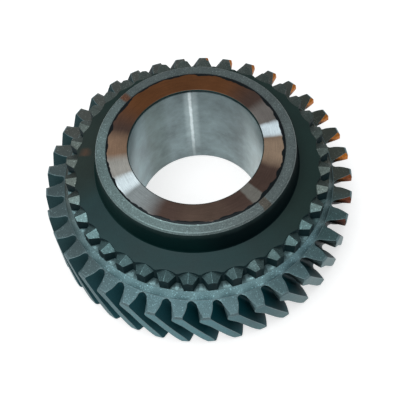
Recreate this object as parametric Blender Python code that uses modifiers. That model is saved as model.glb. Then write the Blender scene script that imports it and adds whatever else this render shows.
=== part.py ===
"""Helical speed gear of a synchromesh gearbox.

One steel forging: a toothed rim with a left-hand helix, a raised ring of pointed dog
teeth for the shift sleeve, a tapered hub for the blocking ring and a ground bore.
The gear lies on its plain lower face with the hub up. The origin is on the axis, in
the plane of that face, and +Z is the axis. Lengths are metres, angles radians.
"""
import math

import bmesh
import bpy
from mathutils import Matrix

# Helical gear rim
TOOTH_COUNT = 37
ADDENDUM = 0.00126
DEDENDUM = 0.0041
FACE_WIDTH = 0.0179
HELIX_ANGLE = math.radians(28.0)
PRESSURE_ANGLE = math.radians(20.0)
TOOTH_SHARE = 0.521
TOOTH_PHASE = math.radians(83.1)
UPPER_TIP_CHAMFER = 0.0005
LOWER_TIP_CHAMFER = 0.0012

# Collar that carries the dog teeth, outside them a plain land and a bevel
RIM_LAND = 0.0003
COLLAR_RISE = 0.0027
COLLAR_BEVEL = 0.0013
COLLAR_MARGIN = 0.0001

# Dog teeth, their widths as shares of the pitch on the circle where they are measured
DOG_COUNT = 36
DOG_DEPTH = 0.0022
DOG_TIP_SHARE = 0.3784
DOG_ROOT_SHARE = 0.7693
DOG_RIDGE_RISE = 0.0047
DOG_ROOF_ANGLE = math.radians(24.0)
DOG_PHASE = math.radians(-97.8)
ROOT_WALL_LEAN = 0.0004
ARCH_REACH = 0.0007
ARCH_RADIUS = 0.0064
ARCH_STEP = 0.0001

# Shoulder between the dog teeth and the hub
SHOULDER_ANGLE = math.radians(9.0)
SHOULDER_WIDTH = 0.00633

# Hub, from its taper in to the bore: the blasted ring, then the ground face
HUB_RISE = 0.0083
HUB_TAPER = math.radians(7.6)
HUB_EDGE_RADIUS = 0.0005
HUB_FOOT_FILLET = 0.0004
BLASTED_RING_WIDTH = 0.0030
GROUND_FACE_WIDTH = 0.0061
GROUND_FACE_STEP = 0.0002

# Bore
BORE_RADIUS = 0.0188
BORE_UPPER_CHAMFER = 0.00025
BORE_LOWER_CHAMFER = 0.0003

# How finely the round forms are divided
TURN_STEPS = 96
TWIST_STEPS = 3
FLANK_STEPS = 2
ROOT_STEPS = 4
ARC_STEPS = 3

# Sizes that follow from the ones above
GROUND_FACE_RADIUS = BORE_RADIUS + GROUND_FACE_WIDTH
HUB_TOP_RADIUS = GROUND_FACE_RADIUS + BLASTED_RING_WIDTH
HUB_FOOT_RADIUS = HUB_TOP_RADIUS + HUB_RISE * math.tan(HUB_TAPER)
SHOULDER_RADIUS = HUB_FOOT_RADIUS + SHOULDER_WIDTH
RIDGE_INNER_RADIUS = SHOULDER_RADIUS - ARCH_REACH
DOG_ROOT_RADIUS = SHOULDER_RADIUS + ROOT_WALL_LEAN
DOG_TIP_RADIUS = DOG_ROOT_RADIUS + DOG_DEPTH
DOG_TIP_WIDTH = DOG_TIP_SHARE * 2.0 * math.pi * DOG_TIP_RADIUS / DOG_COUNT
DOG_ROOT_WIDTH = DOG_ROOT_SHARE * 2.0 * math.pi * DOG_ROOT_RADIUS / DOG_COUNT
COLLAR_TOP_RADIUS = DOG_TIP_RADIUS + RIM_LAND
COLLAR_FOOT_RADIUS = COLLAR_TOP_RADIUS + COLLAR_BEVEL
ROOT_RADIUS = COLLAR_FOOT_RADIUS + COLLAR_MARGIN
REFERENCE_RADIUS = ROOT_RADIUS + DEDENDUM
TIP_RADIUS = REFERENCE_RADIUS + ADDENDUM
BASE_RADIUS = REFERENCE_RADIUS * math.cos(PRESSURE_ANGLE)
TWIST_PER_METRE = math.tan(HELIX_ANGLE) / REFERENCE_RADIUS
COLLAR_TOP = FACE_WIDTH + COLLAR_RISE
SHOULDER_EDGE = COLLAR_TOP + DOG_RIDGE_RISE
HUB_FOOT = SHOULDER_EDGE + SHOULDER_WIDTH * math.tan(SHOULDER_ANGLE)
HUB_FACE = HUB_FOOT + HUB_RISE


def involute(angle):
    return math.tan(angle) - angle


def half_tooth_angle(radius):
    """Half the angle that one gear tooth fills on the circle of this radius."""
    slope = math.acos(min(1.0, BASE_RADIUS / max(radius, BASE_RADIUS)))
    return (TOOTH_SHARE * math.pi / TOOTH_COUNT
            + involute(PRESSURE_ANGLE) - involute(slope))


def gap_outline(reach):
    """Plan of one tooth gap about +X: flank, full round root and flank, open outward."""
    half_pitch = math.pi / TOOTH_COUNT
    root = 0.001
    for _ in range(30):
        root = (ROOT_RADIUS + root) * math.sin(half_pitch - half_tooth_angle(ROOT_RADIUS + root))
    centre = ROOT_RADIUS + root
    upper = []
    for step in range(FLANK_STEPS + 1):
        radius = TIP_RADIUS + (centre - TIP_RADIUS) * step / FLANK_STEPS
        angle = half_pitch - half_tooth_angle(radius)
        upper.append((radius * math.cos(angle), radius * math.sin(angle)))
    mouth = half_pitch - half_tooth_angle(TIP_RADIUS) + 0.15 * reach / TIP_RADIUS
    upper.insert(0, ((TIP_RADIUS + reach) * math.cos(mouth), (TIP_RADIUS + reach) * math.sin(mouth)))
    arc = [(centre - root * math.sin(math.pi * step / ROOT_STEPS),
            root * math.cos(math.pi * step / ROOT_STEPS)) for step in range(1, ROOT_STEPS)]
    lower = [(x, -y) for x, y in reversed(upper)]
    return upper + arc + lower


def shoulder_height(radius):
    return SHOULDER_EDGE + (SHOULDER_RADIUS - radius) * math.tan(SHOULDER_ANGLE)


def quarter_arc(centre_x, centre_z, radius, start, stop):
    """Points of a turned edge round, from one angle to the other."""
    return [(centre_x + radius * math.cos(start + (stop - start) * step / ARC_STEPS),
             centre_z + radius * math.sin(start + (stop - start) * step / ARC_STEPS))
            for step in range(ARC_STEPS + 1)]


def blank_outline():
    """Half section of the turned blank, down its outer side and back up the bore."""
    ring_height = HUB_FACE - GROUND_FACE_STEP
    edge_centre = HUB_TOP_RADIUS - HUB_EDGE_RADIUS
    points = [(BORE_RADIUS + BORE_UPPER_CHAMFER, HUB_FACE),
              (GROUND_FACE_RADIUS, HUB_FACE),
              (GROUND_FACE_RADIUS + GROUND_FACE_STEP, ring_height)]
    points += quarter_arc(edge_centre, ring_height - HUB_EDGE_RADIUS, HUB_EDGE_RADIUS,
                          math.pi / 2.0, HUB_TAPER)
    points += [(HUB_FOOT_RADIUS, HUB_FOOT + HUB_FOOT_FILLET),
               (HUB_FOOT_RADIUS + HUB_FOOT_FILLET,
                shoulder_height(HUB_FOOT_RADIUS + HUB_FOOT_FILLET)),
               (SHOULDER_RADIUS, SHOULDER_EDGE),
               (DOG_ROOT_RADIUS, COLLAR_TOP),
               (COLLAR_TOP_RADIUS, COLLAR_TOP),
               (COLLAR_FOOT_RADIUS, FACE_WIDTH),
               (TIP_RADIUS - UPPER_TIP_CHAMFER, FACE_WIDTH),
               (TIP_RADIUS, FACE_WIDTH - UPPER_TIP_CHAMFER),
               (TIP_RADIUS, LOWER_TIP_CHAMFER),
               (TIP_RADIUS - LOWER_TIP_CHAMFER, 0.0),
               (BORE_RADIUS + BORE_LOWER_CHAMFER, 0.0),
               (BORE_RADIUS, BORE_LOWER_CHAMFER),
               (BORE_RADIUS, HUB_FACE - BORE_UPPER_CHAMFER)]
    return points


def mesh_object(name, bm, collection):
    bmesh.ops.recalc_face_normals(bm, faces=bm.faces)
    mesh = bpy.data.meshes.new(name)
    bm.to_mesh(mesh)
    bm.free()
    obj = bpy.data.objects.new(name, mesh)
    collection.objects.link(obj)
    return obj


def extruded(bm, faces, move, turn=0.0, keep=True):
    """Extrude flat faces by a move, with a turn about Z, and give the far faces back.

    The near faces close the form's start where keep is set, and go where it isn't.
    """
    result = bmesh.ops.extrude_face_region(bm, geom=faces, use_keep_orig=True)
    if not keep:
        bmesh.ops.delete(bm, geom=faces, context="FACES_ONLY")
    verts = [g for g in result["geom"] if isinstance(g, bmesh.types.BMVert)]
    bmesh.ops.rotate(bm, verts=verts, cent=(0.0, 0.0, 0.0), matrix=Matrix.Rotation(turn, 3, "Z"))
    bmesh.ops.translate(bm, verts=verts, vec=move)
    return [g for g in result["geom"] if isinstance(g, bmesh.types.BMFace)]


# Start from an empty scene
for old in list(bpy.data.objects):
    bpy.data.objects.remove(old, do_unlink=True)

part_collection = bpy.data.collections.new("speed_gear")
cutter_collection = bpy.data.collections.new("speed_gear_cutters")
bpy.context.scene.collection.children.link(part_collection)
bpy.context.scene.collection.children.link(cutter_collection)

# The turned blank: the whole half section spun about the axis
bm = bmesh.new()
section = [bm.verts.new((r, 0.0, z)) for r, z in blank_outline()]
for here, there in zip(section, section[1:] + section[:1]):
    bm.edges.new((here, there))
blank_mesh = bpy.data.meshes.new("gear_wheel")
bm.to_mesh(blank_mesh)
bm.free()
gear = bpy.data.objects.new("gear_wheel", blank_mesh)
part_collection.objects.link(gear)
spin = gear.modifiers.new("turn", "SCREW")
spin.axis = "Z"
spin.angle = 2.0 * math.pi
spin.steps = TURN_STEPS
spin.render_steps = TURN_STEPS
spin.use_merge_vertices = True
spin.merge_threshold = 0.00001

# Hobbed tooth gaps: one plan outline per gap, twisted down the face in steps
overrun = 0.0006
bm = bmesh.new()
gap_faces = []
for index in range(TOOTH_COUNT):
    middle = TOOTH_PHASE + (index + 0.5) * 2.0 * math.pi / TOOTH_COUNT
    start = Matrix.Rotation(middle - overrun * TWIST_PER_METRE, 4, "Z")
    verts = [bm.verts.new(start @ Matrix.Translation((x, y, FACE_WIDTH + overrun)).translation)
             for x, y in gap_outline(0.001)]
    gap_faces.append(bm.faces.new(verts))
depth = FACE_WIDTH + 2.0 * overrun
for step in range(TWIST_STEPS):
    gap_faces = extruded(bm, gap_faces, (0.0, 0.0, -depth / TWIST_STEPS),
                         depth / TWIST_STEPS * TWIST_PER_METRE, keep=step == 0)
gaps = mesh_object("tooth_gap_cutters", bm, cutter_collection)

# Dog teeth: straight sided wedges that stand on the collar, rooted in the shoulder
bm = bmesh.new()
rooting = 0.0008
for index in range(DOG_COUNT):
    place = Matrix.Rotation(DOG_PHASE + index * 2.0 * math.pi / DOG_COUNT, 4, "Z")
    inner = SHOULDER_RADIUS - rooting
    flare = (DOG_ROOT_WIDTH - DOG_TIP_WIDTH) / DOG_DEPTH
    inner_width = DOG_TIP_WIDTH + flare * (DOG_TIP_RADIUS - DOG_ROOT_RADIUS)
    plan = [(inner, -inner_width / 2.0), (DOG_ROOT_RADIUS, -DOG_ROOT_WIDTH / 2.0),
            (DOG_TIP_RADIUS, -DOG_TIP_WIDTH / 2.0), (DOG_TIP_RADIUS, DOG_TIP_WIDTH / 2.0),
            (DOG_ROOT_RADIUS, DOG_ROOT_WIDTH / 2.0), (inner, inner_width / 2.0)]
    verts = [bm.verts.new(place @ Matrix.Translation((x, y, COLLAR_TOP - rooting)).translation)
             for x, y in plan]
    foot = bm.faces.new(verts)
    extruded(bm, [foot], (0.0, 0.0, rooting + DOG_RIDGE_RISE + ARCH_STEP))
dogs = mesh_object("dog_tooth_wedges", bm, cutter_collection)

# Pointing cutters: each leaves a radial ridge with a roof plane on both sides, and
# ends inward in an arched wall that scallops the shoulder's edge
pointers = []
for parity in (0, 1):
    bm = bmesh.new()
    for index in range(parity, DOG_COUNT, 2):
        place = Matrix.Rotation(DOG_PHASE + index * 2.0 * math.pi / DOG_COUNT, 4, "Z")
        half_width = DOG_ROOT_RADIUS * math.tan(math.pi / DOG_COUNT) * 1.02
        spread = math.asin(half_width / ARCH_RADIUS)
        arch = [(RIDGE_INNER_RADIUS + ARCH_RADIUS * (1.0 - math.cos(spread * step / ARC_STEPS)),
                 ARCH_RADIUS * math.sin(spread * step / ARC_STEPS)) for step in range(ARC_STEPS + 1)]
        outer = DOG_TIP_RADIUS + rooting
        ridge_start, ridge_end = (RIDGE_INNER_RADIUS, 0.0), (outer, 0.0)
        sides = []
        for side in (1, -1):
            plan = [ridge_start] + [(x, side * y) for x, y in arch[1:]] + [(outer, side * half_width)]
            plan.append(ridge_end)
            sides.append(plan)
        roof = {}
        faces = []
        for plan in sides:
            verts = []
            for x, y in plan:
                key = (round(x, 7), round(y, 7))
                if key not in roof:
                    ridge = (shoulder_height(RIDGE_INNER_RADIUS) - ARCH_STEP
                             - (x - RIDGE_INNER_RADIUS) * 0.04)
                    z = ridge - abs(y) * math.tan(DOG_ROOF_ANGLE)
                    roof[key] = bm.verts.new(place @ Matrix.Translation((x, y, z)).translation)
                verts.append(roof[key])
            faces.append(bm.faces.new(verts))
        extruded(bm, faces, (0.0, 0.0, 0.004))
    pointers.append(mesh_object("roof_cutters_%d" % parity, bm, cutter_collection))

# Join the wedges to the blank, then point them and cut the gear teeth
for label, operation, tool in (("dogs", "UNION", dogs), ("point_even", "DIFFERENCE", pointers[0]),
                               ("point_odd", "DIFFERENCE", pointers[1]),
                               ("hob", "DIFFERENCE", gaps)):
    step = gear.modifiers.new(label, "BOOLEAN")
    step.operation = operation
    step.solver = "EXACT"
    step.object = tool
    tool.hide_render = True
    tool.display_type = "WIRE"

# Case hardened, shot blasted steel
steel = bpy.data.materials.new("blasted_steel")
steel.use_nodes = True
shader = steel.node_tree.nodes["Principled BSDF"]
shader.inputs["Base Color"].default_value = (0.16, 0.19, 0.20, 1.0)
shader.inputs["Metallic"].default_value = 0.85
shader.inputs["Roughness"].default_value = 0.5
gear.data.materials.append(steel)
gear.data.shade_smooth()
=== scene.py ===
import math

import bmesh
import bpy
from mathutils import Matrix, Vector


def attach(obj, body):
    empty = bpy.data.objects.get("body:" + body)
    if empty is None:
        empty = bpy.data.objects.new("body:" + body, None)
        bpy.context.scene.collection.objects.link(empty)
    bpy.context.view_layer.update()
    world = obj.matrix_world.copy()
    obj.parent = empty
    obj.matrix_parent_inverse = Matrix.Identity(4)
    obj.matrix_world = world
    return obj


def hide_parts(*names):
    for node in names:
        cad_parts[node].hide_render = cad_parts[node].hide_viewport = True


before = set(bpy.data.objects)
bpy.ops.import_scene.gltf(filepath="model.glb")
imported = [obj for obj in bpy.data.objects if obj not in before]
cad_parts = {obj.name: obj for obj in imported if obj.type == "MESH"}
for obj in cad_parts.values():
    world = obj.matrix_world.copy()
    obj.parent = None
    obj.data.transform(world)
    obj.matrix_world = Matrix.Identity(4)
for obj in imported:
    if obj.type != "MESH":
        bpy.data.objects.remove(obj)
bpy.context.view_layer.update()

# Camera: a rather long lens close above the gear, tipped and rolled a little, as it is
# when a photograph is taken by hand.
camera_data = bpy.data.cameras.new("camera")
camera_data.lens = 75.685
camera_data.sensor_width = 36.0
camera_data.clip_start = 0.01
camera = bpy.data.objects.new("camera", camera_data)
camera.location = (0.0, -0.13001, 0.2285)
camera.rotation_euler = [math.radians(a) for a in (29.977, 2.473, -4.277)]
bpy.context.scene.collection.objects.link(camera)
bpy.context.scene.camera = camera
bpy.context.scene.view_settings.view_transform = "Standard"


# Studio: white paper under the gear, a plain pale room and one softbox overhead. Where
# the paper is seen or mirrored it is lifted to white, but the light that it gives is plain.
PAPER_DROP = 0.00003
PAPER_LIFT = 0.62


def add_node(tree, kind, inputs=None, **settings):
    """Add a shader node, with its inputs set to values or linked to other nodes' outputs."""
    node = tree.nodes.new("ShaderNode" + kind)
    for name, value in settings.items():
        setattr(node, name, value)
    for name, value in (inputs or {}).items():
        if isinstance(value, bpy.types.NodeSocket):
            tree.links.new(value, node.inputs[name])
        else:
            node.inputs[name].default_value = value
    return node


def seen_or_mirrored(tree):
    rays = add_node(tree, "LightPath")
    seen = add_node(tree, "Math", {0: rays.outputs["Is Camera Ray"],
                                   1: rays.outputs["Is Glossy Ray"]}, operation="MAXIMUM")
    return add_node(tree, "Math", {0: seen.outputs[0],
                                   1: rays.outputs["Is Transmission Ray"]},
                    operation="MAXIMUM").outputs[0]


room = bpy.data.worlds.new("studio")
room.use_nodes = True
room.node_tree.nodes.clear()
walls = add_node(room.node_tree, "Background", {"Color": (0.94, 0.98, 1.0, 1.0), "Strength": 0.42})
add_node(room.node_tree, "OutputWorld", {"Surface": walls.outputs[0]})
bpy.context.scene.world = room

paper = bpy.data.materials.new("white_paper")
paper.use_nodes = True
paper.node_tree.nodes.clear()
pulp = add_node(paper.node_tree, "BsdfDiffuse", {"Color": (0.62, 0.62, 0.62, 1.0)})
lift = add_node(paper.node_tree, "Math", {0: seen_or_mirrored(paper.node_tree), 1: PAPER_LIFT},
                operation="MULTIPLY")
glow = add_node(paper.node_tree, "Emission", {"Color": (1.0, 1.0, 1.0, 1.0), "Strength": lift.outputs[0]})
both = add_node(paper.node_tree, "AddShader", {0: pulp.outputs[0], 1: glow.outputs[0]})
add_node(paper.node_tree, "OutputMaterial", {"Surface": both.outputs[0]})

sheet = bmesh.new()
bmesh.ops.create_grid(sheet, x_segments=1, y_segments=1, size=1.5)
bmesh.ops.translate(sheet, verts=sheet.verts, vec=(0.0, 0.0, -PAPER_DROP))
paper_mesh = bpy.data.meshes.new("paper_floor")
sheet.to_mesh(paper_mesh)
sheet.free()
paper_mesh.materials.append(paper)
floor = bpy.data.objects.new("paper_floor", paper_mesh)
bpy.context.scene.collection.objects.link(floor)

softbox_data = bpy.data.lights.new("overhead_softbox", "AREA")
softbox_data.size = 0.30
softbox_data.energy = 1.0
softbox = bpy.data.objects.new("overhead_softbox", softbox_data)
softbox.location = (-0.06, -0.08, 0.42)
softbox_aim = Vector((0.0, 0.0, 0.02)) - softbox.location
softbox.rotation_euler = softbox_aim.to_track_quat("-Z", "Y").to_euler()
bpy.context.scene.collection.objects.link(softbox)


# Toothed rim: a steel forging turned to size and hobbed with 37 left-hand helical teeth,
# which have an involute outline and a full round root. Each tooth's acute upper edge is
# chamfered, its lower end is rounded, and the whole rim is case-hardened and shot-blasted.
TOOTH_COUNT = 37
TIP_RADIUS = 0.0449974
REFERENCE_RADIUS = 0.0437374
ROOT_RADIUS = 0.0396374
FACE_WIDTH = 0.0179
HELIX_ANGLE = math.radians(28.0)
TWIST_PER_METRE = math.tan(HELIX_ANGLE) / REFERENCE_RADIUS
PRESSURE_ANGLE = math.radians(20.0)
TOOTH_SHARE = 0.521
TOOTH_PHASE = math.radians(83.1)
TOP_TRIM = 0.0005
LOW_TRIM = 0.0012
ACUTE_CHAMFER = 0.0015
ACUTE_DEPTH = 0.00204
ACUTE_SWELL = 0.0010
SWELL_END = 0.0055
SWELL_FADE = 0.0030
LOW_ROUND_WIDTH = 0.00125
LOW_ROUND_HEIGHT = 0.0052
CHAMFER_FOOT_RADIUS = ROOT_RADIUS + 0.0005
CHAMFER_GROWTH = 0.6
SWELL_GROWTH = 1.5
LAND_DEPTH = 0.0007
FACES_OUT = 0.5
FLANK_STEPS = 4
ROOT_STEPS = 10
SWEEP_STEPS = 21
SAME_PLACE = 1e-7
WELD = 0.000002
SLOTS = ["blasted_rim", "tooth_tip_land", "shaded_flank", "orange_reflection_flank", "blasted_collar", "blasted_dog",
         "shaded_dog_wall", "shoulder", "hub_cone", "blasted_ring", "ground_face", "honed_bore", "worn_edge",
         "lower_face", "acute_edge"]
finishes = {}


def around(angle, half_width, blur=0.6):
    """A soft sector of a turned surface, about an angle in degrees."""
    def mask(tree, place):
        flat = add_node(tree, "VectorMath", {0: place, 1: (1.0, 1.0, 0.0)}, operation="MULTIPLY")
        way = add_node(tree, "VectorMath", {0: flat.outputs[0]}, operation="NORMALIZE")
        aim = (math.cos(math.radians(angle)), math.sin(math.radians(angle)), 0.0)
        near = add_node(tree, "VectorMath", {0: way.outputs[0], 1: aim}, operation="DOT_PRODUCT")
        full = math.radians(half_width * (1.0 - blur))
        return add_node(tree, "MapRange", {"Value": near.outputs["Value"],
                                           "From Min": math.cos(math.radians(half_width)),
                                           "From Max": math.cos(full)},
                        interpolation_type="SMOOTHSTEP").outputs[0]
    return mask


def beyond(radius, blur):
    """Everything outside a circle, or inside it where the blur is negative."""
    def mask(tree, place):
        flat = add_node(tree, "VectorMath", {0: place, 1: (1.0, 1.0, 0.0)}, operation="MULTIPLY")
        length = add_node(tree, "VectorMath", {0: flat.outputs[0]}, operation="LENGTH")
        return add_node(tree, "MapRange", {"Value": length.outputs["Value"],
                                           "From Min": radius - blur, "From Max": radius + blur}).outputs[0]
    return mask


def above(height, blur):
    """Everything above a level, or below it where the blur is negative."""
    def mask(tree, place):
        axes = add_node(tree, "SeparateXYZ", {0: place})
        return add_node(tree, "MapRange", {"Value": axes.outputs[2], "From Min": height - blur,
                                           "From Max": height + blur}).outputs[0]
    return mask


def where(*masks, strength=1.0):
    """The place where all of several masks meet."""
    def mask(tree, place):
        total = masks[0](tree, place)
        for other in masks[1:]:
            total = add_node(tree, "Math", {0: total, 1: other(tree, place)}, operation="MULTIPLY").outputs[0]
        return add_node(tree, "Math", {0: total, 1: strength}, operation="MULTIPLY").outputs[0]
    return mask


def steel(name, colour, roughness, metallic, grain=0.2, painted_glint=0.0, bump=0.2, stains_and_painted_light=(), specular=0.5,
          lines=0.0, sway=0.0016, cloud=0.14):
    """Steel with a fine grain, painted glints as bright dots, turning lines, uneven tone and marks, each a
    real stain or painted light or shade. Each mark is a mask and a colour, and later marks lie over earlier
    ones. Sway is how far their edges wander, and cloud, grain and lines are how strongly the tone varies.
    """
    material = bpy.data.materials.new(name)
    material.use_nodes = True
    tree = material.node_tree
    tree.nodes.clear()
    place = add_node(tree, "TexCoord").outputs["Object"]
    clouds = add_node(tree, "TexNoise", {"Vector": place, "Scale": 110.0, "Detail": 5.0, "Roughness": 0.62})
    grains = add_node(tree, "TexNoise", {"Vector": place, "Scale": 3800.0, "Detail": 2.0, "Roughness": 0.7})
    wander = add_node(tree, "TexNoise", {"Vector": place, "Scale": 420.0, "Detail": 3.0})
    offset = add_node(tree, "VectorMath", {0: wander.outputs["Color"], 1: (0.5, 0.5, 0.5)},
                      operation="SUBTRACT")
    swayed = add_node(tree, "VectorMath", {0: offset.outputs[0], 1: (sway, sway, sway), 2: place},
                      operation="MULTIPLY_ADD")
    tinted = (*colour, 1.0)
    # Real stains and painted light and shade are laid over the colour in turn.
    for mask, tint in stains_and_painted_light:
        tinted = add_node(tree, "Mix", {0: mask(tree, swayed.outputs[0]), 6: tinted, 7: (*tint, 1.0)},
                          data_type="RGBA").outputs[2]
    tone = add_node(tree, "MapRange", {"Value": clouds.outputs["Fac"], "From Min": 0.3, "From Max": 0.7,
                                       "To Min": 1.0 - cloud, "To Max": 1.0 + cloud})
    fleck = add_node(tree, "MapRange", {"Value": grains.outputs["Fac"], "From Min": 0.3, "From Max": 0.7,
                                        "To Min": 1.0 - grain, "To Max": 1.0 + grain})
    level = add_node(tree, "Math", {0: tone.outputs[0], 1: fleck.outputs[0]}, operation="MULTIPLY").outputs[0]
    height = grains.outputs["Fac"]
    if lines:
        axes = add_node(tree, "SeparateXYZ", {0: place})
        flat = add_node(tree, "VectorMath", {0: place, 1: (1.0, 1.0, 0.0)}, operation="MULTIPLY")
        way = add_node(tree, "VectorMath", {0: flat.outputs[0]}, operation="NORMALIZE")
        slow = add_node(tree, "VectorMath", {0: way.outputs[0], "Scale": 0.0012}, operation="SCALE")
        length = add_node(tree, "VectorMath", {0: flat.outputs[0]}, operation="LENGTH")
        across = add_node(tree, "Math", {0: length.outputs["Value"], 1: axes.outputs[2]}, operation="ADD")
        lifted = add_node(tree, "CombineXYZ", {2: across.outputs[0]})
        turned = add_node(tree, "VectorMath", {0: slow.outputs[0], 1: lifted.outputs[0]}, operation="ADD")
        scored = add_node(tree, "TexNoise", {"Vector": turned.outputs[0], "Scale": 4200.0, "Detail": 3.0})
        streak = add_node(tree, "MapRange", {"Value": scored.outputs["Fac"], "From Min": 0.3, "From Max": 0.7,
                                             "To Min": 1.0 - lines, "To Max": 1.0 + lines})
        level = add_node(tree, "Math", {0: level, 1: streak.outputs[0]}, operation="MULTIPLY").outputs[0]
        height = scored.outputs["Fac"]
    # Painted glints: bright dots where the blasted grains catch the light.
    if painted_glint:
        cells = add_node(tree, "TexVoronoi", {"Vector": place, "Scale": 4200.0})
        bright = add_node(tree, "SeparateColor", {0: cells.outputs["Color"]})
        glint_speck = add_node(tree, "MapRange", {"Value": bright.outputs[0], "From Min": 0.91, "From Max": 1.0})
        level = add_node(tree, "Math", {0: glint_speck.outputs[0], 1: painted_glint, 2: level},
                         operation="MULTIPLY_ADD").outputs[0]
    base = add_node(tree, "VectorMath", {0: tinted if stains_and_painted_light else colour, "Scale": level}, operation="SCALE")
    rough = add_node(tree, "MapRange", {"Value": clouds.outputs["Fac"], "From Min": 0.3, "From Max": 0.7,
                                        "To Min": roughness - 0.06, "To Max": roughness + 0.06})
    relief = add_node(tree, "Bump", {"Strength": bump, "Distance": 0.00005, "Height": height})
    shader = add_node(tree, "BsdfPrincipled", {"Base Color": base.outputs[0], "Roughness": rough.outputs[0],
                                               "Metallic": metallic, "Specular IOR Level": specular,
                                               "Normal": relief.outputs[0]})
    add_node(tree, "OutputMaterial", {"Surface": shader.outputs[0]})
    finishes[name] = material


def slot(name):
    """The number of a finish's material slot on the wheel."""
    return SLOTS.index(name)


def half_tooth_angle(radius):
    """Half the angle that an involute tooth takes up at a radius."""
    base = REFERENCE_RADIUS * math.cos(PRESSURE_ANGLE)
    slope = math.acos(min(1.0, base / max(radius, base)))
    return (TOOTH_SHARE * math.pi / TOOTH_COUNT + math.tan(PRESSURE_ANGLE) - PRESSURE_ANGLE
            - math.tan(slope) + slope)


def polar(radius, angle, height):
    return Vector((radius * math.cos(angle), radius * math.sin(angle), height))


def trim_tooth_ends(verts, limit, height):
    """Bring the tooth ends on one level in to a smaller circle, along their own flanks."""
    twist = TOOTH_PHASE + (FACE_WIDTH - height) * TWIST_PER_METRE
    pitch = 2.0 * math.pi / TOOTH_COUNT
    for vert in verts:
        radius = vert.co.xy.length
        if radius < limit - SAME_PLACE:
            continue
        angle = math.atan2(vert.co.y, vert.co.x) - twist
        tooth = round(angle / pitch)
        lean = angle - tooth * pitch
        full = half_tooth_angle(radius)
        on_flank = radius < TIP_RADIUS - 1e-6 or abs(lean) >= full * 0.999
        share = math.copysign(1.0, lean) if on_flank else lean / full
        vert.co = polar(limit, twist + tooth * pitch + share * half_tooth_angle(limit), height)


def shape_tooth_end(vert):
    """Chamfer and swell a tooth's acute upper edge, and round both sides of its lower end."""
    radius = vert.co.xy.length
    reach = (radius - CHAMFER_FOOT_RADIUS) / (TIP_RADIUS - CHAMFER_FOOT_RADIUS)
    if reach <= 0.0:
        return
    depth = FACE_WIDTH - vert.co.z
    lean = math.atan2(vert.co.y, vert.co.x) - TOOTH_PHASE - depth * TWIST_PER_METRE
    lean -= round(lean / (2.0 * half_pitch)) * 2.0 * half_pitch
    side = math.copysign(1.0, lean)
    if radius > root_centre:
        side = max(-1.0, min(1.0, lean / half_tooth_angle(radius)))
    low = max(0.0, 1.0 - vert.co.z / LOW_ROUND_HEIGHT)
    push = LOW_ROUND_WIDTH * (1.0 - math.sqrt(1.0 - low ** 2)) * reach ** CHAMFER_GROWTH
    if side < 0.0:
        cut = max(0.0, 1.0 - depth / ACUTE_DEPTH)
        swell = min(1.0, depth / TOP_TRIM, max(0.0, (SWELL_END - depth) / SWELL_FADE))
        push += ACUTE_CHAMFER * cut * reach ** CHAMFER_GROWTH - ACUTE_SWELL * swell * reach ** SWELL_GROWTH
    vert.co = Matrix.Rotation(-push * side / radius, 3, "Z") @ vert.co


# Painted light and shade: blasted steel is painted lighter and bluer at the front of the gear, and darker at
# its right and back.
steel("blasted_rim", (0.096, 0.106, 0.098), 0.48, 0.8, 0.25, 1.1, 0.25,
      [(around(-112, 86, 0.9), (0.120, 0.205, 0.224)),
       (around(12, 50, 0.8), (0.053, 0.062, 0.053)),
       (around(-33, 24, 0.9), (0.052, 0.098, 0.102)),
       (around(-56, 22, 0.9), (0.084, 0.146, 0.158)),
       (around(-163, 45, 0.9), (0.074, 0.110, 0.116)),
       # Painted light: the flats between the dogs are painted lighter at the front.
       (where(around(-120, 100, 0.7), beyond(0.0386, -0.0004)), (0.130, 0.215, 0.228))])
# Painted light: the tip lands are painted lighter at the front, most at their lower ends, as a painted
# reflection of the paper.
steel("tooth_tip_land", (0.060, 0.080, 0.084), 0.5, 0.9, 0.2, 0.5, 0.2,
      [(around(-100, 115, 0.6), (0.038, 0.106, 0.120)),
       (where(around(-100, 115, 0.6), above(0.004, -0.004)), (0.07, 0.16, 0.17)),
       (around(-104, 30, 0.8), (0.068, 0.182, 0.207)),
       (around(-35, 34, 0.8), (0.095, 0.165, 0.175))])
# Painted shade: the flanks are painted dark, lighter at the front and the left as painted light, and lighter
# still at their lower ends at the front as a painted reflection of the paper.
steel("shaded_flank", (0.014, 0.028, 0.031), 0.5, 0.0, 0.15, 0.0, 0.1,
      [(around(-92, 95, 0.6), (0.002, 0.034, 0.043)),
       (around(-126, 34, 0.9), (0.012, 0.054, 0.066)),
       (around(170, 70, 0.8), (0.028, 0.064, 0.070)),
       (where(around(-100, 115, 0.6), above(0.004, -0.004)), (0.034, 0.125, 0.150))], specular=0.04)

# The flanks that face clockwise are painted dark as painted shade, and near their tips at the right and the
# back right of the gear they carry a painted orange reflection, as do the chamfers above them. At the front
# their lower ends carry a painted reflection of the paper.
steel("orange_reflection_flank", (0.006, 0.020, 0.022), 0.5, 0.0, 0.15, 0.0, 0.1,
      [(where(around(-100, 115, 0.6), above(0.004, -0.004)), (0.030, 0.090, 0.105)),
       (where(around(35, 62, 0.25), beyond(0.0412, 0.0006), above(0.0145, 0.0016)), (0.60, 0.20, 0.035))],
      specular=0.15)
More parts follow.
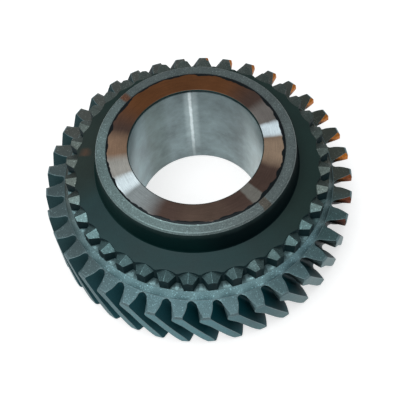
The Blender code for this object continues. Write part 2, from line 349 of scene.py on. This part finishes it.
# Painted light and shade: the chamfers are painted lighter at the front and darker at the right and the back,
# with a reddish painted reflection near their tips at the front right.
steel("acute_edge", (0.092, 0.101, 0.088), 0.48, 0.8, 0.25, 0.5, 0.2,
      [(around(-110, 95, 0.9), (0.105, 0.180, 0.195)),
       (around(-116, 24, 0.8), (0.20, 0.33, 0.36)),
       (around(-42, 26, 0.8), (0.030, 0.052, 0.056)),
       (around(25, 72, 0.4), (0.012, 0.016, 0.015)),
       (where(around(36, 58, 0.3), beyond(0.0412, 0.0010)), (0.50, 0.170, 0.026)),
       (where(around(-14, 14, 0.5), beyond(0.0420, 0.0010), strength=0.8), (0.16, 0.040, 0.022))])

wheel = bmesh.new()
half_pitch = math.pi / TOOTH_COUNT
root = 0.0014
# From this first guess, the round root is made as wide as the gap where it meets the flanks.
for _ in range(30):
    root = (ROOT_RADIUS + root) * math.sin(half_pitch - half_tooth_angle(ROOT_RADIUS + root))
root_centre = ROOT_RADIUS + root
land = half_tooth_angle(TIP_RADIUS)
flank_top = TIP_RADIUS - 2.0 * TOP_TRIM
flank_radii = [TIP_RADIUS, TIP_RADIUS - TOP_TRIM, flank_top]
flank_radii += [flank_top + (root_centre - flank_top) * step / FLANK_STEPS
                for step in range(1, FLANK_STEPS + 1)]
one_gap = [polar(TIP_RADIUS, -half_pitch + land * step / 2, 0.0) for step in range(2)]
one_gap += [polar(r, -half_pitch + half_tooth_angle(r), 0.0) for r in flank_radii]
one_gap += [Vector((root_centre - root * math.sin(math.pi * step / ROOT_STEPS),
                    -root * math.cos(math.pi * step / ROOT_STEPS), 0.0)) for step in range(1, ROOT_STEPS)]
one_gap += [polar(r, half_pitch - half_tooth_angle(r), 0.0) for r in reversed(flank_radii)]
one_gap += [polar(TIP_RADIUS, half_pitch - land / 2, 0.0)]
outline = []
for tooth in range(TOOTH_COUNT):
    turn = Matrix.Rotation(TOOTH_PHASE + (2 * tooth + 1) * half_pitch, 3, "Z")
    outline += [wheel.verts.new(turn @ point + Vector((0.0, 0.0, FACE_WIDTH))) for point in one_gap]
edges = [wheel.edges.new(pair) for pair in zip(outline, outline[1:] + outline[:1])]
level = FACE_WIDTH
for drop, steps, trim in ((TOP_TRIM, 1, 0.0), (FACE_WIDTH - TOP_TRIM - LOW_TRIM, SWEEP_STEPS, 0.0),
                          (LOW_TRIM / 2.0, 1, LOW_TRIM * 0.3), (LOW_TRIM / 2.0, 1, LOW_TRIM)):
    swept = bmesh.ops.spin(wheel, geom=edges, cent=(0.0, 0.0, 0.0), axis=(0.0, 0.0, 1.0),
                           dvec=(0.0, 0.0, -drop / steps), angle=drop * TWIST_PER_METRE, steps=steps)
    edges = [g for g in swept["geom_last"] if isinstance(g, bmesh.types.BMEdge)]
    level -= drop
    if trim:
        trim_tooth_ends({v for e in edges for v in e.verts}, TIP_RADIUS - trim, level)
trim_tooth_ends(outline, TIP_RADIUS - TOP_TRIM, FACE_WIDTH)
for vert in wheel.verts:
    shape_tooth_end(vert)
for face in wheel.faces:
    face.normal_update()
    middle = face.calc_center_median()
    on_land = (middle.xy.length > TIP_RADIUS - LAND_DEPTH
               and abs(face.normal.dot(middle.normalized())) > FACES_OUT)
    face.material_index = slot("tooth_tip_land" if on_land else "shaded_flank")
bmesh.ops.remove_doubles(wheel, verts=wheel.verts, dist=WELD)

# Collar and shoulder: turned steps of the same forging, which carry the dog teeth. The
# collar rises from the rim's face as a short blasted cone, and the smooth dark shoulder
# lies inside the dog teeth, with a small brown smudge at the left.
COLLAR_FOOT_RADIUS = 0.0394574
COLLAR_TOP_RADIUS = 0.0380374
COLLAR_TOP = 0.0206
SHOULDER_RADIUS = 0.0353374
SHOULDER_EDGE = 0.0253
SHOULDER_TILT = math.radians(9.0)
TURN_STEPS = 504


def start_ring(bm, radius, height):
    ring = bmesh.ops.create_circle(bm, cap_ends=False, radius=radius, segments=TURN_STEPS)
    bmesh.ops.translate(bm, verts=ring["verts"], vec=(0.0, 0.0, height))
    return list(dict.fromkeys(edge for vert in ring["verts"] for edge in vert.link_edges))


def turn_on(bm, ring, radius, height, finish):
    """Carry a turned surface on from one ring to the next."""
    grown = bmesh.ops.extrude_edge_only(bm, edges=ring)["geom"]
    for vert in [g for g in grown if isinstance(g, bmesh.types.BMVert)]:
        flat = vert.co.xy.normalized() * radius
        vert.co = (flat.x, flat.y, height)
    for face in [g for g in grown if isinstance(g, bmesh.types.BMFace)]:
        face.material_index = slot(finish)
    return [g for g in grown if isinstance(g, bmesh.types.BMEdge)
            and all(abs(v.co.xy.length - radius) < SAME_PLACE
                    and abs(v.co.z - height) < SAME_PLACE for v in g.verts)]


def fill_flat(bm, rings, finish):
    """Close a flat face between its outlines."""
    filled = bmesh.ops.triangle_fill(bm, use_beauty=True, use_dissolve=False,
                                     normal=Vector((0.0, 0.0, 1.0)), edges=rings)
    for face in [g for g in filled["geom"] if isinstance(g, bmesh.types.BMFace)]:
        face.material_index = slot(finish)


def open_edges_at(bm, height):
    return [e for e in bm.edges if e.is_boundary
            and all(abs(v.co.z - height) < SAME_PLACE for v in e.verts)]


def shoulder_height(radius):
    return SHOULDER_EDGE + (SHOULDER_RADIUS - radius) * math.tan(SHOULDER_TILT)


# Painted light and shade: the collar is painted lighter at the front and darker at its right, and the
# shoulder lighter at the front left.
steel("blasted_collar", (0.100, 0.116, 0.106), 0.48, 0.8, 0.25, 1.5, 0.25,
      [(around(-100, 88, 0.9), (0.205, 0.350, 0.378)),
       (around(0, 48, 0.8), (0.056, 0.070, 0.064)),
       (around(-24, 22, 0.9), (0.068, 0.120, 0.128)),
       (around(-48, 20, 0.9), (0.126, 0.226, 0.252))])
steel("shoulder", (0.009, 0.025, 0.022), 0.55, 0.0, 0.12, 0.0, 0.1,
      [(around(-125, 95, 0.9), (0.017, 0.047, 0.050)),
       (around(168, 34, 0.9), (0.017, 0.029, 0.025)),
       (where(around(168.5, 3, 0.9), beyond(0.0316, 0.0010), beyond(0.0338, -0.0010), strength=0.6),
        (0.10, 0.05, 0.03))], specular=0.2)

upper_outline = open_edges_at(wheel, FACE_WIDTH)
ring = start_ring(wheel, COLLAR_FOOT_RADIUS, FACE_WIDTH)
fill_flat(wheel, upper_outline + ring, "blasted_rim")
collar_foot = ring
ring = turn_on(wheel, ring, COLLAR_TOP_RADIUS, COLLAR_TOP, "blasted_collar")
for edge in collar_foot + ring:
    edge.smooth = False

# Dog teeth: 36 pointed wedges milled from the same forging. Each has straight sides that
# widen inward, a radial ridge with a roof plane on both sides, and an arch cut behind it.
# A dog is made with its arch and its share of the shoulder, and then repeated.
DOG_COUNT = 36
DOG_PHASE = math.radians(-97.8)
DOG_TIP_RADIUS = 0.0379374
DOG_ROOT_RADIUS = 0.0357374
DOG_BACK_RADIUS = 0.0342
DOG_TIP_HALF = 0.0012528
DOG_FLARE = 0.5211
ROOF_SLOPE = math.tan(math.radians(24.0))
RIDGE_FALL = 0.04
RIDGE_INNER_RADIUS = 0.0346374
RIDGE_HEIGHT = shoulder_height(RIDGE_INNER_RADIUS) - 0.0001
ARCH_RADIUS = 0.0064
ARCH_STEPS = 6
SHARP_DOG_ANGLE = math.radians(30.0)


def roof_height(x, y):
    return RIDGE_HEIGHT - (x - RIDGE_INNER_RADIUS) * RIDGE_FALL - abs(y) * ROOF_SLOPE


def wall_radius(height):
    """Radius of the wall between two dogs, which leans in from the collar to the shoulder."""
    share = (height - COLLAR_TOP) / (SHOULDER_EDGE - COLLAR_TOP)
    return DOG_ROOT_RADIUS + (SHOULDER_RADIUS - DOG_ROOT_RADIUS) * share


def arch_x(y):
    return RIDGE_INNER_RADIUS + ARCH_RADIUS - math.sqrt(ARCH_RADIUS ** 2 - y ** 2)


def side_x(y):
    return DOG_TIP_RADIUS - (y - DOG_TIP_HALF) / DOG_FLARE


def meeting_width(x_at, height_at):
    """Half width at which a side or an arch meets the wall between the dogs, by halving."""
    low, high = 0.0018, 0.0036
    for _ in range(40):
        y = (low + high) / 2.0
        x = x_at(y)
        inside = math.hypot(x, y) < wall_radius(height_at(x, y))
        if inside == (x_at is arch_x):
            low = y
        else:
            high = y
    return y


# Painted light and shade: the dogs' roofs are painted lighter at the front and darker at the right, the front
# right and the left.
steel("blasted_dog", (0.092, 0.116, 0.108), 0.38, 0.85, 0.3, 1.1, 0.3,
      [(around(-115, 75, 0.9), (0.090, 0.160, 0.168)),
       (around(10, 60, 0.9), (0.066, 0.086, 0.080)),
       (around(-46, 26, 0.9), (0.048, 0.084, 0.086)),
       (around(178, 22, 0.9), (0.056, 0.070, 0.064))])
# Painted shade: the walls of the dogs are painted nearly black, as the shade round each dog.
steel("shaded_dog_wall", (0.005, 0.020, 0.024), 0.5, 0.0, 0.2, 0.0, 0.1, specular=0.1)

dog = bmesh.new()
half_dog = math.pi / DOG_COUNT
foot_width = meeting_width(side_x, lambda x, y: COLLAR_TOP)
eave_width = meeting_width(side_x, roof_height)
low_width = meeting_width(arch_x, roof_height)
high_width = meeting_width(arch_x, lambda x, y: SHOULDER_EDGE)
for side in (1.0, -1.0):
    tip_ridge = dog.verts.new((DOG_TIP_RADIUS, 0.0, roof_height(DOG_TIP_RADIUS, 0.0)))
    tip_eave = dog.verts.new((DOG_TIP_RADIUS, side * DOG_TIP_HALF,
                              roof_height(DOG_TIP_RADIUS, DOG_TIP_HALF)))
    tip_foot = dog.verts.new((DOG_TIP_RADIUS, side * DOG_TIP_HALF, COLLAR_TOP))
    tip_middle = dog.verts.new((DOG_TIP_RADIUS, 0.0, COLLAR_TOP))
    foot = dog.verts.new((side_x(foot_width), side * foot_width, COLLAR_TOP))
    eave = dog.verts.new((side_x(eave_width), side * eave_width,
                          roof_height(side_x(eave_width), eave_width)))
    arch_low = []
    arch_high = []
    for step in range(ARCH_STEPS + 1):
        y = low_width * step / ARCH_STEPS
        arch_low.append(dog.verts.new((arch_x(y), side * y, roof_height(arch_x(y), y))))
        y = high_width * step / ARCH_STEPS
        arch_high.append(dog.verts.new((arch_x(y), side * y, shoulder_height(math.hypot(arch_x(y), y)))))
    back = [dog.verts.new(polar(DOG_BACK_RADIUS, side * half_dog * step / (ARCH_STEPS + 1),
                                shoulder_height(DOG_BACK_RADIUS))) for step in range(ARCH_STEPS + 2)]
    cusp_top = dog.verts.new(polar(SHOULDER_RADIUS, side * half_dog, SHOULDER_EDGE))
    cusp_foot = dog.verts.new(polar(DOG_ROOT_RADIUS, side * half_dog, COLLAR_TOP))
    faces = [("blasted_dog", [tip_ridge, tip_eave, eave] + arch_low[::-1]),
             ("shaded_dog_wall", [tip_middle, tip_foot, tip_eave, tip_ridge]),
             ("shaded_dog_wall", [tip_foot, foot, eave, tip_eave]),
             ("shaded_dog_wall", [foot, cusp_foot, cusp_top, arch_high[-1], arch_low[-1], eave])]
    for step in range(ARCH_STEPS):
        faces.append(("shaded_dog_wall", [arch_low[step], arch_low[step + 1], arch_high[step + 1], arch_high[step]]))
        faces.append(("shoulder", [arch_high[step], arch_high[step + 1], back[step + 1], back[step]]))
    faces.append(("shoulder", [arch_high[-1], cusp_top, back[-1], back[-2]]))
    for finish, corners in faces:
        dog.faces.new(corners if side > 0 else corners[::-1]).material_index = slot(finish)
bmesh.ops.remove_doubles(dog, verts=dog.verts, dist=WELD)
# A seam marks each outer edge of the dog until the edges are broken, after the lower face.
for edge in dog.edges:
    if len(edge.link_faces) == 2:
        edge.seam = edge.calc_face_angle_signed() > SHARP_DOG_ANGLE
bmesh.ops.rotate(dog, verts=dog.verts, cent=(0.0, 0.0, 0.0), matrix=Matrix.Rotation(DOG_PHASE, 3, "Z"))
dog_geometry = dog.verts[:] + dog.edges[:] + dog.faces[:]
for index in range(1, DOG_COUNT):
    copied = bmesh.ops.duplicate(dog, geom=dog_geometry)["geom"]
    bmesh.ops.rotate(dog, verts=[g for g in copied if isinstance(g, bmesh.types.BMVert)],
                     cent=(0.0, 0.0, 0.0), matrix=Matrix.Rotation(index * 2.0 * half_dog, 3, "Z"))
bmesh.ops.remove_doubles(dog, verts=dog.verts, dist=WELD)
dog_ring = bpy.data.meshes.new("dog_ring_work")
dog.to_mesh(dog_ring)
dog.free()
wheel.from_mesh(dog_ring)
bpy.data.meshes.remove(dog_ring)
fill_flat(wheel, open_edges_at(wheel, COLLAR_TOP), "blasted_rim")

# Hub: a tapered seat for the blocking ring, on a rounded foot, painted nearly black as painted shade. Its end
# has a blasted ring outside and the ground thrust face inside, one small step higher. A brown smudge at the
# back and a worn bar at the front cross the blasted ring.
HUB_FACE = 0.0346026
HUB_TOP_RADIUS = 0.0279
HUB_FOOT_RADIUS = 0.0290074
HUB_FOOT = 0.0263026
HUB_TAPER = math.radians(7.6)
HUB_ROUND = 0.0006
GROUND_FACE_RADIUS = 0.0249
RING_HEIGHT = HUB_FACE - 0.0002
SHOULDER_RINGS = (0.0325, 0.0310)

# Painted shade: the hub cone is painted nearly black, and lighter at the left and near its top at the front
# as painted light.
steel("hub_cone", (0.0, 0.005, 0.006), 0.6, 0.0, 0.12, 0.0, 0.1,
      [(around(-170, 80, 0.9), (0.005, 0.023, 0.022)),
       (around(-108, 30, 0.9), (0.001, 0.014, 0.014)),
       (where(around(-100, 110, 0.7), above(0.0332, 0.0016)), (0.030, 0.052, 0.052))],
      specular=0.05, lines=0.1)
# Painted light: the blasted ring is painted lighter at the left.
steel("blasted_ring", (0.125, 0.155, 0.155), 0.46, 0.8, 0.3, 0.9, 0.3,
      [(around(-150, 90, 0.9), (0.155, 0.220, 0.220)),
       (where(around(135.5, 3.6, 0.9), strength=0.8), (0.16, 0.055, 0.02)),
       (where(around(-50, 3.2, 0.3), strength=0.7), (0.10, 0.075, 0.055))],
      specular=0.3)

ring = [e for e in wheel.edges if e.is_boundary
        and all(abs(v.co.xy.length - DOG_BACK_RADIUS) < 1e-6 for v in e.verts)]
for radius in SHOULDER_RINGS:
    ring = turn_on(wheel, ring, radius, shoulder_height(radius), "shoulder")
for step in range(5):
    lean = SHOULDER_TILT + (math.pi / 2.0 - HUB_TAPER - SHOULDER_TILT) * step / 4
    ring = turn_on(wheel, ring, HUB_FOOT_RADIUS + HUB_ROUND * (1.0 - math.sin(lean)),
                   HUB_FOOT + HUB_ROUND * (1.0 - math.cos(lean)), "shoulder" if step < 2 else "hub_cone")
for step in range(1, 4):
    rise = HUB_FOOT + HUB_ROUND + (RING_HEIGHT - HUB_ROUND - HUB_FOOT - HUB_ROUND) * step / 3
    ring = turn_on(wheel, ring, HUB_TOP_RADIUS + (RING_HEIGHT - rise) * math.tan(HUB_TAPER), rise,
                   "hub_cone")
for step in range(1, 6):
    lean = HUB_TAPER + (math.pi / 2.0 - HUB_TAPER) * step / 5
    ring = turn_on(wheel, ring, HUB_TOP_RADIUS - HUB_ROUND + HUB_ROUND * math.cos(lean),
                   RING_HEIGHT - HUB_ROUND + HUB_ROUND * math.sin(lean), "blasted_ring")
# A narrow run of faces on both sides of the step keeps its edge crisp.
for gap in (0.0006, 0.00015):
    ring = turn_on(wheel, ring, GROUND_FACE_RADIUS + gap, RING_HEIGHT, "blasted_ring")

# Ground face and bore: both ground bright after hardening, with a fine broken edge between them. The face's
# brown, tan and grey sectors are a painted reflection of the room, its two white wedges are painted
# highlights, and a wavy black line runs round its outer edge. A painted reflection runs down the back of the
# bore as a bright streak, with a painted highlight along its middle.
BORE_RADIUS = 0.0188
BORE_EDGE_BREAK = 0.00025
BORE_LOW_CHAMFER = 0.0003
BORE_LEVELS = (0.0335, 0.0260, 0.0180, 0.0100)
GROUND_FACE_MIDDLE = 0.0218


def wavy_black_line(tree, place):
    """The wavy black line along the face's outer edge, wide and narrow by turns."""
    flat = add_node(tree, "VectorMath", {0: place, 1: (1.0, 1.0, 0.0)}, operation="MULTIPLY")
    way = add_node(tree, "VectorMath", {0: flat.outputs[0]}, operation="NORMALIZE")
    length = add_node(tree, "VectorMath", {0: flat.outputs[0]}, operation="LENGTH")
    waves = add_node(tree, "TexNoise", {"Vector": way.outputs[0], "Scale": 5.5, "Detail": 2.0})
    wide = add_node(tree, "MapRange", {"Value": waves.outputs["Fac"], "From Min": 0.35, "From Max": 0.65,
                                       "To Min": 0.00020, "To Max": 0.00090})
    reach = add_node(tree, "Math", {0: length.outputs["Value"], 1: wide.outputs[0]}, operation="ADD")
    return add_node(tree, "MapRange", {"Value": reach.outputs[0], "From Min": GROUND_FACE_RADIUS - 0.00012,
                                       "From Max": GROUND_FACE_RADIUS + 0.00002}).outputs[0]


# Painted reflection and painted highlights: the face's brown, tan and grey sectors and its two white wedges.
steel("ground_face", (0.072, 0.044, 0.035), 0.35, 0.4, 0.05, 0.15, 0.05,
      [(around(100, 62, 0.5), (0.124, 0.047, 0.016)),
       (around(180, 21, 0.7), (0.23, 0.145, 0.095)),
       (around(-146, 30, 0.8), (0.25, 0.28, 0.285)),
       (around(-165, 14, 0.9), (0.36, 0.35, 0.32)),
       (around(-152, 9, 0.8), (0.80, 0.92, 0.96)),
       (around(-88, 22, 0.9), (0.090, 0.058, 0.044)),
       (around(-10, 17, 0.8), (0.28, 0.20, 0.14)),
       (around(20, 17, 0.7), (0.160, 0.145, 0.135)),
       (around(8, 8, 0.7), (0.74, 0.86, 0.92)),
       (where(around(-50.5, 5.8, 0.4), strength=0.8), (0.20, 0.20, 0.18)),
       (wavy_black_line, (0.004, 0.008, 0.010))], specular=0.2, lines=0.12, sway=0.0008)
steel("honed_bore", (0.185, 0.240, 0.250), 0.35, 1.0, 0.04, 0.0, 0.05,
      [(around(180, 60, 0.8), (0.20, 0.27, 0.285)),
       (around(-10, 60, 0.8), (0.37, 0.45, 0.455)),
       (around(128, 16, 0.9), (0.145, 0.195, 0.195)),
       (around(166, 24, 0.9), (0.225, 0.310, 0.328)),
       # Painted reflection: a bright streak down the back of the bore, with a painted highlight along its
       # middle.
       (where(around(91, 8.0, 0.98), above(0.012, 0.016), strength=0.65), (0.46, 0.55, 0.57)),
       (where(around(91.5, 1.8, 0.9), above(0.011, 0.014), strength=0.8), (0.85, 0.95, 0.97)),
       (above(0.0342, 0.0002), (0.01, 0.03, 0.03))], lines=0.05, sway=0.0005, cloud=0.4)
steel("worn_edge", (0.13, 0.20, 0.215), 0.45, 0.6, 0.2, 0.5, 0.12,
      [(beyond(0.0197, -0.0003), (0.012, 0.035, 0.034))])

for radius in (GROUND_FACE_RADIUS - 0.00005, GROUND_FACE_RADIUS - 0.0006, GROUND_FACE_MIDDLE,
               BORE_RADIUS + 2.0 * BORE_EDGE_BREAK, BORE_RADIUS + BORE_EDGE_BREAK):
    ring = turn_on(wheel, ring, radius, HUB_FACE, "ground_face")
ring = turn_on(wheel, ring, BORE_RADIUS, HUB_FACE - BORE_EDGE_BREAK, "worn_edge")
for height in (*BORE_LEVELS, BORE_LOW_CHAMFER + 0.0001, BORE_LOW_CHAMFER):
    ring = turn_on(wheel, ring, BORE_RADIUS, height, "honed_bore")
ring = turn_on(wheel, ring, BORE_RADIUS + BORE_LOW_CHAMFER, 0.0, "honed_bore")

# Lower face and edges: the lower face is turned flat, and the gear lies on it. Every
# outer edge of the gear teeth and the dogs is broken a little, as blasting leaves it.
TOOTH_EDGE_BREAK = 0.00016
DOG_EDGE_BREAK = 0.00012
SHARP_TOOTH_ANGLE = math.radians(28.0)
FACES_UP = 0.4
FACES_CLOCKWISE = -0.35

steel("lower_face", (0.12, 0.15, 0.155), 0.45, 0.35, 0.2, 0.3, lines=0.1)

fill_flat(wheel, open_edges_at(wheel, 0.0), "lower_face")
bmesh.ops.recalc_face_normals(wheel, faces=wheel.faces)
for face in wheel.faces:
    if face.material_index == slot("tooth_tip_land") and face.normal.z > FACES_UP:
        face.material_index = slot("worn_edge")
    if face.material_index == slot("shaded_flank"):
        middle = face.calc_center_median()
        counterclockwise = Vector((-middle.y, middle.x, 0.0)).normalized()
        if face.normal.dot(counterclockwise) < FACES_CLOCKWISE:
            on_chamfer = (middle.z > FACE_WIDTH - ACUTE_DEPTH
                          and middle.xy.length > ROOT_RADIUS + 0.0010)
            face.material_index = slot("acute_edge" if on_chamfer else "orange_reflection_flank")


def break_edges(bm, edges, width):
    """Take the sharpness off edges, with faces that keep the finish beside them."""
    return bmesh.ops.bevel(bm, geom=edges, offset=width, offset_type="OFFSET", segments=2, profile=0.5,
                           affect="EDGES", clamp_overlap=True, material=-1, loop_slide=True)["faces"]


tooth_edges = [e for e in wheel.edges if len(e.link_faces) == 2
               and min(v.co.xy.length for v in e.verts) > ROOT_RADIUS - 0.0002
               and max(v.co.z for v in e.verts) < FACE_WIDTH + 1e-6
               and e.calc_face_angle() > SHARP_TOOTH_ANGLE]
for face in break_edges(wheel, tooth_edges, TOOTH_EDGE_BREAK):
    if face.material_index not in (slot("acute_edge"), slot("orange_reflection_flank")):
        face.material_index = slot("worn_edge")
break_edges(wheel, [e for e in wheel.edges if e.seam and len(e.link_faces) == 2], DOG_EDGE_BREAK)
for edge in wheel.edges:
    edge.seam = False
for face in wheel.faces:
    face.smooth = True

# The finished wheel: rim, collar, dogs, hub, bore and faces are one piece of steel, so
# they are one mesh, which stands for the plain solid of the gear wheel.
fine_mesh = bpy.data.meshes.new("gear_wheel_fine")
wheel.to_mesh(fine_mesh)
wheel.free()
for name in SLOTS:
    fine_mesh.materials.append(finishes[name])
gear = bpy.data.objects.new("gear_wheel_fine", fine_mesh)
bpy.context.scene.collection.objects.link(gear)
even = gear.modifiers.new("even_shading", "WEIGHTED_NORMAL")
even.mode = "FACE_AREA"
even.weight = 100
even.keep_sharp = True
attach(gear, "root")
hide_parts("gear_wheel")
